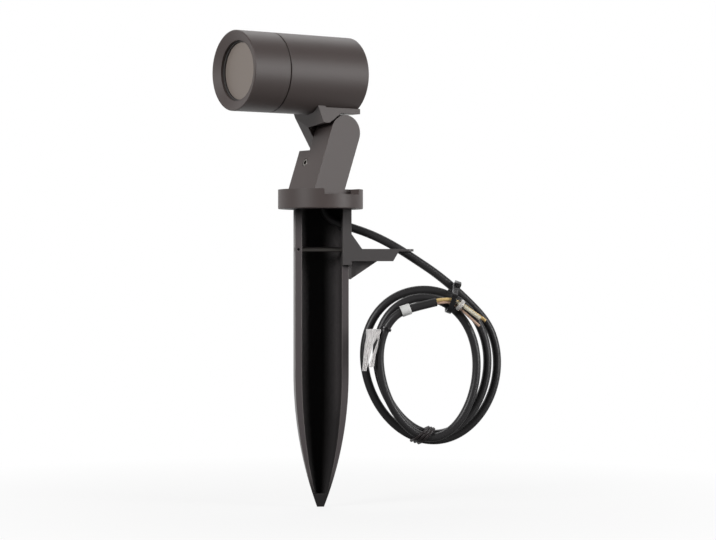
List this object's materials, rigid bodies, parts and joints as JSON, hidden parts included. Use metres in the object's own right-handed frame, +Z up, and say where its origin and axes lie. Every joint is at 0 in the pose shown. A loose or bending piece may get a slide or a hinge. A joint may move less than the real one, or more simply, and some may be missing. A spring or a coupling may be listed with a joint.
{
  "type": "garden spike spotlight",
  "caption": "Garden spotlight with a cylindrical lamp head on a tilting, swivelling lap-jointed bracket, a trough-shaped ground spike with a cable arm, and a coiled rubber cable.",
  "frame": {"origin": "on the spike axis at the ground line, the underside of the base cup", "axes": "+Z up along the spike, the spike trough opens to -Y, the cable arm reaches to +X"},
  "size_m": [0.2409, 0.1095, 0.3874],
  "materials": {
    "bronze": "die-cast aluminium, satin grey-brown bronze coating",
    "frosted_glass": "frosted toughened glass",
    "seal": "matte silicone",
    "lamp_glass": "reflector lamp glass",
    "ceramic": "glazed steatite, stood in for by a matte plastic",
    "steel": "stainless steel",
    "washer": "nylon friction washer",
    "spike_plastic": "black glass-filled polyamide, satin",
    "cable_rubber": "satin rubber sheath",
    "core_insulation": "tan core insulation",
    "tie_plastic": "black tie",
    "white_plastic": "white marker sleeve",
    "clear_plastic": "clear film",
    "tag_paper": "plain paper tag"
  },
  "bodies": {
    "spike": {"spike": "spike_plastic", "cable_arm": "spike_plastic", "cross_pin": "steel", "cord_lead": "cable_rubber", "cord_coil": "cable_rubber", "conductors": "core_insulation", "tie_upper": "tie_plastic", "tie_lower": "tie_plastic", "marker_sleeve": "white_plastic", "core_wrap": "clear_plastic", "cable_tag": "tag_paper"},
    "bracket": {"bracket": "bronze", "arm_screw": "steel", "grub_screws": "steel", "pivot_bolt": "steel", "pivot_washer": "washer", "arm_cable": "cable_rubber"},
    "head": {"head_housing": "bronze", "head_foot": "bronze", "foot_screws": "steel", "housing_seal": "seal", "lamp": "lamp_glass", "lamp_lens": "lamp_glass", "lamp_pins": "steel", "lamp_holder": "ceramic", "holder_strap": "steel", "holder_screws": "steel"},
    "glass_pack": {"front_glass": "frosted_glass", "glass_gasket": "seal"},
    "front_ring": {"front_ring": "bronze"}
  },
  "joints": [
    {"name": "base_swivel", "type": "hinge", "parent": "spike", "child": "bracket", "pos_m": [0, 0, 0.008], "axis": [0, 0, 1], "range_deg": [-175, 175]},
    {"name": "head_tilt", "type": "hinge", "parent": "bracket", "child": "head", "pos_m": [0.01054, 0.00574, 0.0626], "axis": [-0.4787, 0.878, 0], "range_deg": [-35, 90]},
    {"name": "ring_travel", "type": "slide", "parent": "head", "child": "glass_pack", "axis": [-0.878, -0.4787, 0], "range_m": [0, 0.0081]},
    {"name": "ring_turn", "type": "hinge", "parent": "glass_pack", "child": "front_ring", "pos_m": [-0.07445, -0.04059, 0.1099], "axis": [-0.878, -0.4787, 0], "range_deg": [0, 1440]}
  ],
  "couplings": [
    {"joint": "ring_travel", "follows": "ring_turn", "m_per_rad": 0.00031831}
  ]
}
